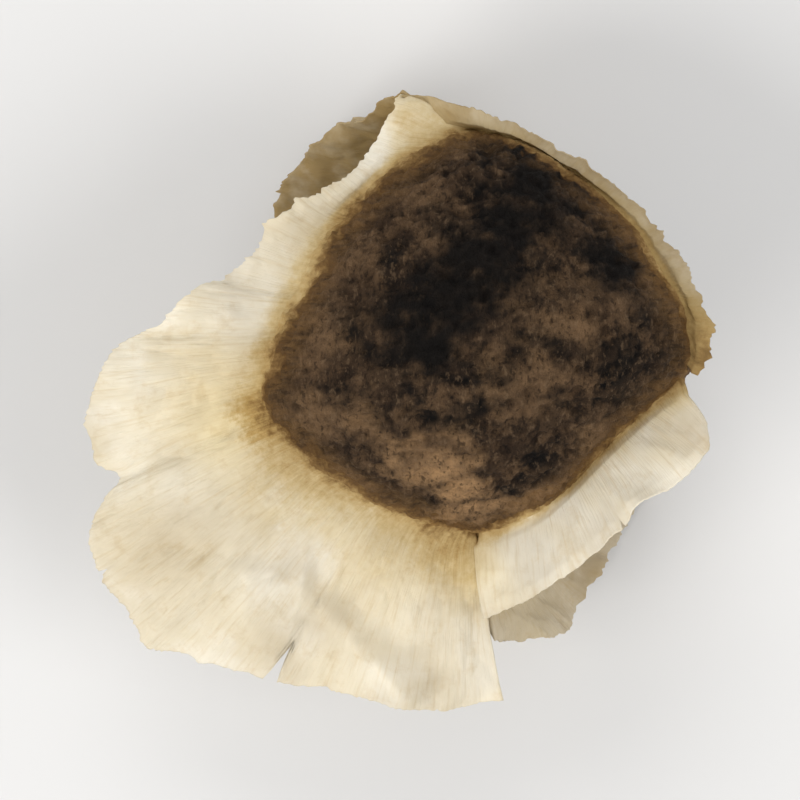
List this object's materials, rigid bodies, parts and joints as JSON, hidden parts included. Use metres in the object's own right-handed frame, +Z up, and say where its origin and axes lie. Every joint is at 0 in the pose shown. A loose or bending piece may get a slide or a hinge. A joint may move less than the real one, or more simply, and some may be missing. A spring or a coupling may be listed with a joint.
{
  "type": "moringa seed",
  "caption": "Rounded three-ridged seed hull with torn papery wings standing out from its ridges, lying on a surface.",
  "frame": {"origin": "under the middle of the whole seed's box, on the surface that it lies on", "axes": "+Y along the seed's axis to its tip, +X towards the wing that stands up, +Z up"},
  "size_m": [0.018, 0.018, 0.0105],
  "materials": {
    "seed_coat": "matt, dark brown on the hull and cream on the papery wings"
  },
  "bodies": {
    "root": {"moringa_seed": "seed_coat"}
  },
  "joints": []
}
